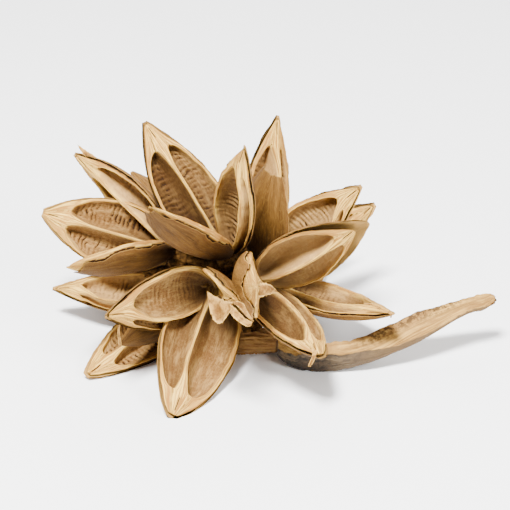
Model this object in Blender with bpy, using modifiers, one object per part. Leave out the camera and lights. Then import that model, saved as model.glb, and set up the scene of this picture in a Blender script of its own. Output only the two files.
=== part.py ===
"""Dried star pod: ten split seed capsules on a short cut stalk, with the long dry bract that sheltered them.

Run with: blender --background --python part.py
Metres, +Z up, standing as it rests on a table. The stalk lies along X, the bract sweeps out to +X,
and the head of capsules opens upwards and towards -Y.
"""

import math
from typing import NamedTuple

import bmesh
import bpy
import numpy as np
from mathutils import Matrix, Vector

MM = 0.001

# Places are given as a person facing the pod sees them: millimetres to the right, up and towards the
# eye, from the middle of the head, with the eye looking down at this angle.
EYE_TILT = math.radians(28)
HEAD_MIDDLE = Vector((-22.5, -26.4, 45.0)) * MM

# A capsule valve, the boat-shaped third of a seed capsule
VALVE_HALF_WIDTH = 0.21  # of the valve's length, where it is widest
VALVE_DEPTH = 0.115  # of its length, from the rim down to the keel
RIM_SINK = 0.052  # of its length, how far the rims bow away below the straight septum
WIDEST_AT = 0.40  # of the way from the base to the tip
BASE_BLUNT = 0.06
TIP_BLUNT = 0.02
RIM_WIDTH = 2.0 * MM
SEPTUM_HALF_WIDTH = 0.8 * MM
WALL = 2.0 * MM
CHAMBER_START = 0.06
CHAMBER_END = 0.79
SEED_RIBS = 6  # ribs across each seed chamber, fewer and larger than life
RIB_HEIGHT = 0.5 * MM
VALVE_START = -1.5 * MM  # each valve begins a little inside the pedicel's end

PEDICEL_INNER = 2.4 * MM
PEDICEL_OUTER = 4.4 * MM
PEDICEL_SIDES = 10
JOINT_GAP = 0.35 * MM


class Valve(NamedTuple):
    """One valve: the place of its tip, the way its hollow side looks (None for straight along the capsule's
    axis), its breadth and depth against the usual ones, how finely it tapers to its tip, and how far its
    middle bends towards the hollow side, in millimetres."""

    tip: tuple
    looks: tuple | None = None
    breadth: float = 1.0
    depth: float = 1.0
    taper: float = 1.0
    arch: float = 3.0


# Each capsule: the place where its valves meet, and its three valves
CAPSULES = {
    "capsule_top": (
        (0, 15, -8),
        (
            Valve((-44, 86, -23), (0.3, 0.2, 0.9), breadth=1.03),
            Valve((10, 68, 46), (-0.6, 0.1, 0.8), breadth=1.05, taper=1.2, arch=4.0),
            Valve((-37, 38, 54), breadth=0.95),
        ),
    ),
    "capsule_top_right": (
        (21, 10, -30),
        (
            Valve((29, 91, -44), breadth=0.85, taper=1.1, arch=0.0),
            Valve((27, 62, 12), breadth=0.85, arch=1.0),
            Valve((72, 49.5, 2), (-0.2, 0.2, 1.0), breadth=1.05, taper=1.15),
        ),
    ),
    "capsule_left": (
        (-31, 16, -22),
        (
            Valve((-102, 37, -39), (0.0, 0.1, 1.0), breadth=1.22, taper=0.85),
            Valve((-85, 69, -42), arch=0.0),
            Valve((-80, 7.5, 36), (-0.45, 0.8, -0.2), breadth=0.95, arch=5.0),
        ),
    ),
    "capsule_front": (
        (-3, -4, -10),
        (
            Valve((-59, -18, 42), (0.2, -0.3, 0.9), breadth=1.05),
            Valve((-26, -69, 37), (0.3, 0.2, 0.9), breadth=1.24, depth=0.9, taper=0.75, arch=4.0),
            Valve((5.5, -11, 60), depth=0.7),
        ),
    ),
    "capsule_lower_left": (
        (-20, -10, -34),
        (
            Valve((-97, -5, -46), (-0.1, 0.35, 0.95), breadth=0.8, taper=1.1, arch=6.0),
            Valve((-73, -50, 5), (-0.1, 0.4, 0.9), depth=0.75, taper=0.9, arch=0.0),
            Valve((-55, -33, 14), breadth=0.9),
        ),
    ),
    "capsule_front_right": (
        (18, -2, -2),
        (
            Valve((73, 29, 42), (0.3, -0.35, 0.9), breadth=1.1),
            Valve((49, -37, 48), (0.5, 0.4, 0.8), breadth=1.15, taper=0.7),
            Valve((20.5, -4, 67), (1.0, 0.0, 0.0), breadth=0.95, depth=0.7),
        ),
    ),
    "capsule_right": (
        (30, 2, -38),
        (
            Valve((84, 42, -58), (0.1, -0.3, 0.9), breadth=0.9),
            Valve((89, -17, 6), (0.1, 0.9, 0.45), breadth=1.1, arch=0.0),
            Valve((58, 3, -92), breadth=0.9),
        ),
    ),
    "capsule_back_left": (
        (-16, 18, -46),
        (
            Valve((-54, 60, -62), breadth=0.95),
            Valve((-72, 22, -92), breadth=0.95),
            Valve((-50, 24, -112), breadth=0.95),
        ),
    ),
    "capsule_back": (
        (0, 6, -56),
        (
            Valve((-18, 17.5, -120), breadth=0.9, arch=0.0),
            Valve((18, 15.4, -120), breadth=0.9, arch=0.0),
            Valve((-4, 52, -106), breadth=0.9),
        ),
    ),
    "capsule_back_right": (
        (22, 20, -50),
        (
            Valve((30, 70, -92), breadth=0.9),
            Valve((68, 38, -84), breadth=0.9),
            Valve((50, 28, -116), breadth=0.9),
        ),
    ),
}

# The stalk lies on the table; the core rises from it into the head and carries the pedicels
STALK = ((-10, -32, -21), (4, -33, -20), (17, -33, -20), (27, -33, -19))
STALK_RADII = (6.6, 7.0, 7.0, 6.0)
CORE = ((13, -30, -20), (10, -17, -24), (4, -5, -27), (1, 6, -29))
CORE_RADII = (6.6, 7.8, 7.6, 6.0)

# The bract is a trough-shaped leaf: its keel and its two edges, from the stalk out to the tip
BRACT_KEEL = (
    (28.5, -39, -10), (36, -44.5, -8), (45, -47, -6), (56, -47, -5), (77, -42.6, -6), (103, -30.4, -9),
    (127, -17.4, -13), (140, -10.9, -15), (147, -8.6, -16.5),
)
BRACT_NEAR = (
    (28.5, -37, -7), (36, -39, -1), (45, -39, 2), (56, -39, 3), (77, -37.5, 1), (103, -30, -3),
    (127, -17, -9), (140, -9.5, -12), (147, -7.2, -14),
)
BRACT_FAR = (
    (28.5, -34.5, -12), (36, -35.5, -16), (45, -34.5, -15), (56, -33.8, -14), (77, -29.8, -15),
    (103, -17.8, -17), (127, -11.6, -18), (140, -7.4, -17.5), (147, -6.4, -17),
)
BRACT_THICKNESS = 1.4 * MM
BRACT_STATIONS = 22
BRACT_COLUMNS = 7


def seen_way(right, up, near):
    """These amounts right, up and towards the eye, as a direction in the standing frame."""
    upwards = Vector((0, math.sin(EYE_TILT), math.cos(EYE_TILT)))
    towards = Vector((0, -math.cos(EYE_TILT), math.sin(EYE_TILT)))
    return Vector((right, 0, 0)) + up * upwards + near * towards


def seen(right, up, near):
    """The point at these millimetres right, up and towards the eye from the middle of the head."""
    return HEAD_MIDDLE + MM * seen_way(right, up, near)


def clear_scene():
    for obj in list(bpy.data.objects):
        bpy.data.objects.remove(obj)


def collection(name):
    made = bpy.data.collections.new(name)
    bpy.context.scene.collection.children.link(made)
    return made


def material(name, colour, roughness):
    made = bpy.data.materials.new(name)
    made.use_nodes = True
    shader = made.node_tree.nodes["Principled BSDF"]
    shader.inputs["Base Color"].default_value = (*colour, 1)
    shader.inputs["Roughness"].default_value = roughness
    shader.inputs["Metallic"].default_value = 0
    return made


def mesh_object(name, mesh, home):
    obj = bpy.data.objects.new(name, mesh)
    home.objects.link(obj)
    return obj


def half_width_share(s, taper):
    """The valve's half width at s, as a share of its widest, for a leaf shape drawn to a point."""
    base_taper = taper * (WIDEST_AT + BASE_BLUNT) / (1 + TIP_BLUNT - WIDEST_AT)
    towards_base = (s + BASE_BLUNT) / (WIDEST_AT + BASE_BLUNT)
    towards_tip = (1 + TIP_BLUNT - s) / (1 + TIP_BLUNT - WIDEST_AT)
    return towards_base**base_taper * towards_tip**taper


def chamber_openness(s):
    """How open the seed chamber is at s: 1 along its middle, falling to a sliver at both rounded ends."""
    q = (s - CHAMBER_START) / (CHAMBER_END - CHAMBER_START)
    if q <= 0 or q >= 1:
        return 0
    return math.sqrt(1 - abs(2 * q - 1) ** 3)


def valve_section(s, length, valve, rib):
    """One cross-section of a valve at s, as (across, height) points from the septum's crest round to the keel."""
    share = half_width_share(s, valve.taper)
    width = valve.breadth * VALVE_HALF_WIDTH * length * share
    rim = -valve.depth * RIM_SINK * length * (0.12 + 0.88 * math.sin(math.pi * s) ** 0.9)
    keel = rim - valve.depth * VALVE_DEPTH * length * share**0.8
    flank = (0.62 * width, rim + 0.76 * (keel - rim))

    def face(x):
        return rim * (x / width) ** 1.3

    def back(x):
        if x < flank[0]:
            return keel + (flank[1] - keel) * x / flank[0]
        return flank[1] + (rim - flank[1]) * (x - flank[0]) / (width - flank[0])

    def floor(x):
        return face(x) - openness * (face(x) - back(x) - WALL) + rib * openness

    inner = min(SEPTUM_HALF_WIDTH, 0.25 * width)
    outer = max(width - RIM_WIDTH, 0.6 * width)
    openness = chamber_openness(s)
    half_span = 0.5 * (outer - inner) * max(openness, 0.15)
    middle = 0.5 * (outer + inner)
    x1, x4 = middle - half_span, middle + half_span
    x2, x3 = x1 + 0.4 * half_span, x1 + 1.5 * half_span
    return [
        (0, 0), (x1, face(x1)), (x2, floor(x2)), (x3, floor(x3)), (x4, face(x4)), (width, rim), flank, (0, keel),
    ]


def valve_stations():
    """Stations along a valve as (s, rib) pairs: plain ends, with seed ribs at every second station between."""
    chamber = np.linspace(CHAMBER_START, CHAMBER_END, 2 * SEED_RIBS + 1)
    ribbed = [(s, RIB_HEIGHT if i % 2 else -RIB_HEIGHT) for i, s in enumerate(chamber)]
    return [(0, 0), *ribbed, (0.81, 0), (0.9, 0), (1, 0)]


def valve_mesh(name, base, valve, axis):
    """A closed boat-shaped valve from the capsule's base out to its tip."""
    tip = seen(*valve.tip)
    length = (tip - base).length
    along = (tip - base) / length
    looks = seen_way(*valve.looks) if valve.looks else axis
    up = (looks - looks.dot(along) * along).normalized()
    across = along.cross(up)
    turn = Matrix((across, along, up)).transposed()
    mesh = bmesh.new()
    rings = []
    for s, rib in valve_stations():
        lift = 4 * s * (1 - s) * valve.arch * MM
        half = [(x, z + lift) for x, z in valve_section(s, length, valve, rib)]
        outline = half + [(-x, z) for x, z in half[-2:0:-1]]
        reach = VALVE_START if s == 0 else s * length
        rings.append([mesh.verts.new(base + turn @ Vector((x, reach, z))) for x, z in outline])
    for lower, upper in zip(rings, rings[1:]):
        for i in range(len(lower)):
            j = (i + 1) % len(lower)
            mesh.faces.new((lower[i], lower[j], upper[j], upper[i]))
    mesh.faces.new(rings[0])
    mesh.faces.new(rings[-1])
    bmesh.ops.recalc_face_normals(mesh, faces=mesh.faces)
    made = bpy.data.meshes.new(name)
    mesh.to_mesh(made)
    mesh.free()
    return made


def tube_mesh(name, points, radii):
    """A round tapering tube through the points, from a bevelled curve whose caps are welded shut."""
    curve = bpy.data.curves.new(name, "CURVE")
    curve.dimensions = "3D"
    curve.bevel_depth = 1
    curve.bevel_resolution = 2
    curve.resolution_u = 3
    curve.use_fill_caps = True
    spline = curve.splines.new("NURBS")
    spline.points.add(len(points) - 1)
    spline.order_u = 3
    spline.use_endpoint_u = True
    for point, place, radius in zip(spline.points, points, radii):
        point.co = (*place, 1)
        point.radius = radius
    guide = bpy.data.objects.new(name, curve)
    bpy.context.scene.collection.objects.link(guide)
    bpy.context.view_layer.update()
    made = bpy.data.meshes.new_from_object(guide.evaluated_get(bpy.context.evaluated_depsgraph_get()))
    bpy.data.objects.remove(guide)
    mesh = bmesh.new()
    mesh.from_mesh(made)
    bmesh.ops.remove_doubles(mesh, verts=mesh.verts, dist=0.01 * MM)
    bmesh.ops.recalc_face_normals(mesh, faces=mesh.faces)
    mesh.to_mesh(made)
    mesh.free()
    return made


def pedicel_mesh(name, start, end):
    """A round stub from start to just past end, a little thicker where the valves leave it."""
    reach = end - start
    mesh = bmesh.new()
    bmesh.ops.create_cone(
        mesh, cap_ends=True, segments=PEDICEL_SIDES, radius1=PEDICEL_INNER, radius2=PEDICEL_OUTER,
        depth=reach.length + 2 * MM,
    )
    turn = reach.to_track_quat("Z", "Y").to_matrix().to_4x4()
    centre = start + reach.normalized() * 0.5 * (reach.length + 2 * MM)
    bmesh.ops.transform(mesh, matrix=Matrix.Translation(centre) @ turn, verts=mesh.verts)
    made = bpy.data.meshes.new(name)
    mesh.to_mesh(made)
    mesh.free()
    return made


def apply_modifiers(obj):
    """Turns the object's modifiers into its plain mesh."""
    bpy.context.view_layer.update()
    mesh = bpy.data.meshes.new_from_object(obj.evaluated_get(bpy.context.evaluated_depsgraph_get()))
    obj.modifiers.clear()
    obj.data = mesh


def union(obj, others):
    """Joins the other meshes to obj with one Boolean, then removes them."""
    tools = collection(obj.name + "_parts")
    for i, mesh in enumerate(others):
        mesh_object(f"{obj.name}_part_{i}", mesh, tools)
    join = obj.modifiers.new("join", "BOOLEAN")
    join.operation = "UNION"
    join.operand_type = "COLLECTION"
    join.collection = tools
    apply_modifiers(obj)
    for tool in list(tools.objects):
        bpy.data.objects.remove(tool)
    bpy.data.collections.remove(tools)


def nearest_on_core(point):
    """The place on the core's axis nearest to the point, and the core's radius there."""
    best = None
    places = [seen(*p) for p in CORE]
    for i in range(len(places) - 1):
        step = places[i + 1] - places[i]
        t = min(1, max(0, (point - places[i]).dot(step) / step.length_squared))
        place = places[i] + t * step
        radius = MM * (CORE_RADII[i] + t * (CORE_RADII[i + 1] - CORE_RADII[i]))
        if best is None or (point - place).length < (point - best[0]).length:
            best = (place, radius)
    return best


def make_capsule(name, base, valves, home, finish):
    """Three valves spread round the capsule's axis, their hollow sides turned in towards it."""
    axis = sum(((seen(*valve.tip) - base).normalized() for valve in valves), Vector()).normalized()
    core_place, core_radius = nearest_on_core(base)
    root = core_place + (base - core_place).normalized() * (core_radius + JOINT_GAP)
    obj = mesh_object(name, pedicel_mesh(name, root, base), home)
    union(obj, [valve_mesh(f"{name}_valve_{i}", base, valve, axis) for i, valve in enumerate(valves)])
    obj.data.materials.clear()
    obj.data.materials.append(finish)
    return obj


def make_stalk(home, finish):
    stalk = tube_mesh("stalk", [seen(*p) for p in STALK], [r * MM for r in STALK_RADII])
    obj = mesh_object("stalk", stalk, home)
    union(obj, [tube_mesh("core", [seen(*p) for p in CORE], [r * MM for r in CORE_RADII])])
    obj.data.materials.clear()
    obj.data.materials.append(finish)
    return obj


def smooth_path(points, count):
    """Evenly spaced points on a smooth curve through the given ones."""
    places = np.array([seen(*p) for p in points])
    spans = np.r_[0, np.cumsum(np.linalg.norm(np.diff(places, axis=0), axis=1))]
    slopes = np.gradient(places, spans, axis=0)
    path = []
    for at in np.linspace(0, spans[-1], count):
        i = min(np.searchsorted(spans, at, side="right") - 1, len(spans) - 2)
        gap = spans[i + 1] - spans[i]
        t = (at - spans[i]) / gap
        path.append(
            (2 * t**3 - 3 * t**2 + 1) * places[i] + (t**3 - 2 * t**2 + t) * gap * slopes[i]
            + (3 * t**2 - 2 * t**3) * places[i + 1] + (t**3 - t**2) * gap * slopes[i + 1]
        )
    return np.array(path)


def make_bract(home, finish):
    """The trough: an open sheet through the near edge, the keel and the far edge, given its thickness."""
    near, keel, far = (smooth_path(p, BRACT_STATIONS) for p in (BRACT_NEAR, BRACT_KEEL, BRACT_FAR))
    mesh = bmesh.new()
    rows = []
    for a, b, c in zip(near, keel, far):
        row = []
        for v in np.linspace(0, 1, BRACT_COLUMNS):
            place = 2 * (v - 0.5) * (v - 1) * a + 4 * v * (1 - v) * b + 2 * v * (v - 0.5) * c
            row.append(mesh.verts.new(place))
        rows.append(row)
    for this, following in zip(rows, rows[1:]):
        for i in range(BRACT_COLUMNS - 1):
            mesh.faces.new((this[i], this[i + 1], following[i + 1], following[i]))
    sheet = bpy.data.meshes.new("bract")
    mesh.to_mesh(sheet)
    mesh.free()
    obj = mesh_object("bract", sheet, home)
    obj.data.materials.append(finish)
    thickness = obj.modifiers.new("thickness", "SOLIDIFY")
    thickness.thickness = BRACT_THICKNESS
    thickness.offset = 1
    apply_modifiers(obj)
    return obj


def make_ground_cutter():
    """A slab whose top is the table, to press small flats where the pod rests."""
    mesh = bmesh.new()
    bmesh.ops.create_cube(mesh, size=1)
    bmesh.ops.scale(mesh, vec=(0.5, 0.5, 0.04), verts=mesh.verts)
    bmesh.ops.translate(mesh, vec=(0, 0, -0.02), verts=mesh.verts)
    slab = bpy.data.meshes.new("table")
    mesh.to_mesh(slab)
    mesh.free()
    cutter = mesh_object("table", slab, collection("cutters"))
    cutter.hide_render = True
    cutter.display_type = "WIRE"
    return cutter


def main():
    clear_scene()
    home = collection("star_pod")
    wood = material("capsule_wood", (0.62, 0.44, 0.25), 0.75)
    stalk_bark = material("stalk_bark", (0.42, 0.28, 0.15), 0.8)
    bract_leaf = material("bract_leaf", (0.48, 0.38, 0.26), 0.8)
    made = [make_stalk(home, stalk_bark), make_bract(home, bract_leaf)]
    made += [make_capsule(name, seen(*base), valves, home, wood) for name, (base, valves) in CAPSULES.items()]
    table = make_ground_cutter()
    for obj in made:
        if min(v.co.z for v in obj.data.vertices) < 0:
            flat = obj.modifiers.new("resting_flat", "BOOLEAN")
            flat.operation = "DIFFERENCE"
            flat.object = table


main()
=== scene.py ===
"""The dried star pod as it looks: ten split woody capsules, their peeling skins, cut stalk and bract."""

import math
from typing import NamedTuple

import bmesh
import bpy
from mathutils import Matrix, Vector, noise


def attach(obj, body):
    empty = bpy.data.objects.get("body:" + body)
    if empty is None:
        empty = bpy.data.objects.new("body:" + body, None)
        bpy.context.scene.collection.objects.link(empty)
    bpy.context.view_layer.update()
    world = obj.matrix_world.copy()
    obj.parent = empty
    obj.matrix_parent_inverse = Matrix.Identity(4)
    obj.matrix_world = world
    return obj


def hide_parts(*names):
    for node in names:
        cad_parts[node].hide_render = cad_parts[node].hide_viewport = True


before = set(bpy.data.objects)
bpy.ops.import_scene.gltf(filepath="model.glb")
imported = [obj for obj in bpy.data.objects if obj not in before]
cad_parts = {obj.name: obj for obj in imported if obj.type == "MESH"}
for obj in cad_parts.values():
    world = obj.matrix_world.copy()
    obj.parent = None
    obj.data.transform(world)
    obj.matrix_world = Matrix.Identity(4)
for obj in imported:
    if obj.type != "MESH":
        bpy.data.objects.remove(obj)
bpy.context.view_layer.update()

# Camera. The pod is seen a little from above through a long lens. Places on it are given as that eye sees
# them: millimetres to the right, up and towards the eye, from the middle of the head.
MM = 0.001
EYE_TILT = math.radians(28)
EYE_PLACE = (15.9, 13.25, 900)
HEAD_MIDDLE = Vector((-0.0225, -0.0264, 0.045))
RIGHT = Vector((1, 0, 0))
UP = Vector((0, math.sin(EYE_TILT), math.cos(EYE_TILT)))
NEAR = Vector((0, -math.cos(EYE_TILT), math.sin(EYE_TILT)))


def seen_way(right, up, near):
    """These amounts right, up and towards the eye, as a direction in the standing frame."""
    return right * RIGHT + up * UP + near * NEAR


def seen(right, up, near):
    """The point at these millimetres right, up and towards the eye from the middle of the head."""
    return HEAD_MIDDLE + MM * seen_way(right, up, near)


eye = bpy.data.objects.new("eye", bpy.data.cameras.new("eye"))
bpy.context.scene.collection.objects.link(eye)
eye.data.lens = 120
eye.data.sensor_width = 36
eye.location = seen(*EYE_PLACE)
eye.rotation_euler = Matrix((RIGHT, UP, NEAR)).transposed().to_euler()
bpy.context.scene.camera = eye


# Floor and light. A plain pale floor under broad soft lamps: a key from the upper left, weaker ones from the
# right and from behind, and an even pale sky.
FLOOR_HALF_WIDTH = 4
SKY_STRENGTH = 0.29


class Wire:
    """A node's output. Arithmetic on it adds Math nodes to its tree."""

    def __init__(self, patch, socket):
        self.patch = patch
        self.socket = socket

    def out(self, name):
        """Another output of the same node."""
        return Wire(self.patch, self.socket.node.outputs[name])

    def maths(self, operation, *others):
        return self.patch.add("ShaderNodeMath", {"operation": operation}, dict(enumerate((self, *others))))

    def __add__(self, other):
        return self.maths("ADD", other)

    def __sub__(self, other):
        return self.maths("SUBTRACT", other)

    def __mul__(self, other):
        return self.maths("MULTIPLY", other)

    def __truediv__(self, other):
        return self.maths("DIVIDE", other)

    def __pow__(self, other):
        return self.maths("POWER", other)

    __radd__ = __add__
    __rmul__ = __mul__

    def __rsub__(self, other):
        return self.patch.add("ShaderNodeMath", {"operation": "SUBTRACT"}, {0: other, 1: self})

    def __abs__(self):
        return self.maths("ABSOLUTE")

    def above(self, other):
        return self.maths("GREATER_THAN", other)

    def at_least(self, other):
        return self.maths("MAXIMUM", other)

    def at_most(self, other):
        return self.maths("MINIMUM", other)

    def smooth(self, low, high):
        """0 where this is at low or beyond it, 1 at high, with an eased step between."""
        return self.patch.add(
            "ShaderNodeMapRange", {"interpolation_type": "SMOOTHSTEP"},
            {"Value": self, "From Min": low, "From Max": high},
        )


class Patch:
    """A node tree being wired up."""

    def __init__(self, tree):
        self.tree = tree

    def add(self, kind, settings=None, inputs=None):
        """Adds a node with its settings, a ramp's stops among them, then its sockets' values or links."""
        node = self.tree.nodes.new(kind)
        for name, value in (settings or {}).items():
            if name == "stops":
                elements = node.color_ramp.elements
                for i, (place, colour) in enumerate(value):
                    element = elements[i] if i < 2 else elements.new(place)
                    element.position = place
                    element.color = (*colour, 1)
            else:
                setattr(node, name, value)
        for key, value in (inputs or {}).items():
            if isinstance(value, Wire):
                self.tree.links.new(value.socket, node.inputs[key])
            else:
                node.inputs[key].default_value = value
        return Wire(self, node.outputs[0]) if len(node.outputs) else node

    def vector(self, x=0.0, y=0.0, z=0.0):
        return self.add("ShaderNodeCombineXYZ", None, {"X": x, "Y": y, "Z": z})

    def noise(self, vector, scale, detail=2.0, roughness=0.5, seed=0.0):
        return self.add(
            "ShaderNodeTexNoise", {"noise_dimensions": "4D"},
            {"Vector": vector, "W": seed, "Scale": scale, "Detail": detail, "Roughness": roughness},
        )

    def blend(self, factor, first, second, how="MIX"):
        """A colour between first and second, each a colour's wire or an RGB value."""
        ends = [end if isinstance(end, Wire) else (*end, 1) for end in (first, second)]
        settings = {"data_type": "RGBA", "blend_type": how}
        mixed = self.add("ShaderNodeMix", settings, {0: factor, 6: ends[0], 7: ends[1]})
        return Wire(self, mixed.socket.node.outputs[2])

    def with_painted_shade(self, factor, colour):
        """The colour as it is where factor is 0, and painted shade where factor is 1: the colour multiplied
        down to deep brown, keeping its own markings.
        """
        painted_shade_brown = (0.20, 0.15, 0.09)
        return self.blend(factor, colour, painted_shade_brown, "MULTIPLY")


def finish_of(name, make):
    """A material whose surface is wired by make(patch), which returns the shader's inputs."""
    material = bpy.data.materials.new(name)
    material.use_nodes = True
    material.node_tree.nodes.clear()
    patch = Patch(material.node_tree)
    shader = patch.add("ShaderNodeBsdfPrincipled", None, make(patch))
    patch.add("ShaderNodeOutputMaterial", None, {"Surface": shader})
    return material


def floor_finish(patch):
    """Matt pale paint with a hardly visible mottle."""
    place = patch.add("ShaderNodeTexCoord").out("Object")
    mottle = patch.noise(place, 6.0)
    return {"Base Color": patch.blend(mottle, (0.93, 0.93, 0.93), (0.95, 0.95, 0.95)), "Roughness": 0.9}


floor_mesh = bmesh.new()
bmesh.ops.create_grid(floor_mesh, x_segments=1, y_segments=1, size=FLOOR_HALF_WIDTH)
floor = bpy.data.objects.new("floor", bpy.data.meshes.new("floor"))
floor_mesh.to_mesh(floor.data)
floor_mesh.free()
floor.location.z = -0.0001
floor.data.materials.append(finish_of("floor_paint", floor_finish))
bpy.context.scene.collection.objects.link(floor)

for lamp_name, lamp_place, lamp_size, lamp_power in (
    ("key_lamp", (-0.28, -0.6, 1.45), 0.36, 124.0),
    ("fill_lamp", (1.0, -1.0, 0.9), 0.6, 30.0),
    ("back_lamp", (0.2, 1.2, 1.2), 1.0, 22.0),
):
    lamp = bpy.data.objects.new(lamp_name, bpy.data.lights.new(lamp_name, "AREA"))
    lamp.data.size = lamp_size
    lamp.data.energy = lamp_power
    lamp.location = lamp_place
    lamp.rotation_euler = (HEAD_MIDDLE - lamp.location).to_track_quat("-Z", "Y").to_euler()
    bpy.context.scene.collection.objects.link(lamp)

sky = bpy.data.worlds.new("sky")
sky.use_nodes = True
sky.node_tree.nodes["Background"].inputs["Color"].default_value = (1, 1, 1, 1)
sky.node_tree.nodes["Background"].inputs["Strength"].default_value = SKY_STRENGTH
bpy.context.scene.world = sky


# Valve wood. Each capsule has split into three boat-shaped valves of pale dry wood. A straight septum runs
# down the middle between two deep ribbed seed chambers, a flat pale rim goes round them, and beyond them the
# wood is a solid pale point with a short slit. The shape follows one rule, given by its cross-sections.
SHARP_EDGE = math.radians(50)
SHELL = 0.0014
RIB_COUNT = 20
# shares: of the grid's columns that cross the hollow side, of half that side where the septum's columns end
# and where the rim's start, and of the length where the chambers start
HOLLOW_SHARE = 0.64
SEPTUM_SHARE = 0.125
RIM_START = 0.8125
CHAMBER_START = 0.05


def valve_outline(s, size):
    """Half width, rim height and depth under the rim at s, which runs from 0 at the base to 1 at the tip."""
    share = ((s + 0.06) / 0.46) ** (size["Taper"] * 0.742) * ((1.02 - s) / 0.62) ** size["Taper"]
    sink = (s * math.pi).maths("SINE").at_least(0.0) ** 0.9
    rim = -1 * size["Rim Sink"] * (0.12 + 0.88 * sink)
    return size["Half Width"] * share, rim, size["Keel Depth"] * share**0.8


def skin_edge(patch, s, side, depth, size):
    """The angle round the valve's back by which the skin's torn edge stays below the wood's rim at s."""
    tatter = patch.noise(patch.vector(s * 26, side * 2.0, 5.0), 1.0, 4.0, 0.65, size["Seed"]) - 0.5
    drop = patch.noise(patch.vector(s * 3.5, side * 5.0, 17.0), 1.0, 2.0, 0.5, size["Seed"])
    dropped = (size["Peel"] * (0.75 + 1.1 * drop.smooth(0.35, 0.65)) + 0.0024 * tatter).at_least(0.0)
    return (dropped / (depth + 0.001)).at_most(0.8)


def shaped(patch, mesh, across, along, height, s, size):
    """Moves the grid to its cross-sections, with the valve's own arch and small warps."""
    middle = 4 * s * (1 - s)
    warp = patch.noise(patch.vector(across * 60, along * 45, height * 60), 1.0, 2.0, 0.5, size["Seed"]) - 0.5
    lift = patch.noise(patch.vector(across * 40, along * 30, 7.0), 1.0, 1.0, 0.5, size["Seed"]) - 0.5
    x = across + warp * 0.0016 * middle
    z = height + size["Arch"] * middle + lift * 0.0016 * middle
    place = patch.vector(x, along, z)
    moved = patch.add("GeometryNodeSetPosition", None, {"Geometry": mesh, "Position": place})
    return patch.add("GeometryNodeMergeByDistance", None, {"Geometry": moved, "Distance": 0.00002})


def finished(patch, mesh, material):
    """Smooth faces but sharp rims, no instances, and the material."""
    angle = patch.add("GeometryNodeInputMeshEdgeAngle")
    smooth = patch.add("GeometryNodeSetShadeSmooth", None, {"Geometry": mesh, "Shade Smooth": True})
    sharp = patch.add(
        "GeometryNodeSetShadeSmooth", {"domain": "EDGE"},
        {"Geometry": smooth, "Selection": angle.above(SHARP_EDGE), "Shade Smooth": False},
    )
    real = patch.add("GeometryNodeRealizeInstances", None, {"Geometry": sharp})
    dressed = patch.add("GeometryNodeSetMaterial", None, {"Geometry": real, "Material": material})
    patch.add("NodeGroupOutput", None, {0: dressed})


def new_tree(name, sizes, counts=()):
    """A Geometry Nodes tree with one named input for each size and count, and those inputs' wires."""
    tree = bpy.data.node_groups.new(name, "GeometryNodeTree")
    tree.interface.new_socket(name="Geometry", in_out="OUTPUT", socket_type="NodeSocketGeometry")
    for kind, names in (("NodeSocketFloat", sizes), ("NodeSocketInt", counts)):
        for each in names:
            tree.interface.new_socket(name=each, in_out="INPUT", socket_type=kind)
    patch = Patch(tree)
    entry = patch.add("NodeGroupInput")
    return patch, {each: entry.out(each) for each in (*sizes, *counts)}


def unit_grid(patch, size):
    """A flat grid with the asked rows and columns, and its two coordinates from 0 to 1."""
    grid = patch.add(
        "GeometryNodeMeshGrid", None,
        {"Size X": 1.0, "Size Y": 1.0, "Vertices X": size["Rows"] + 1, "Vertices Y": size["Columns"] + 1},
    )
    place = patch.add("ShaderNodeSeparateXYZ", None, {0: patch.add("GeometryNodeInputPosition")})
    return grid, place + 0.5, place.out("Y") + 0.5


def marked(patch, mesh, marks):
    """Stores each mark as a named number on every point, for the materials to read."""
    for name, value in marks.items():
        inputs = {"Geometry": mesh, "Name": name, "Value": value}
        mesh = patch.add("GeometryNodeStoreNamedAttribute", None, inputs)
    return mesh


# what both valve trees are told about a valve, with every length in metres
VALVE_SIZES = (
    "Length", "Half Width", "Rim Sink", "Keel Depth", "Taper", "Arch", "Overhang", "Rib Height", "Peel",
    "Chamber End", "Chamber Depth", "Skin End", "Lean", "Painted Shading", "Side Shading", "Seed",
)


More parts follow.
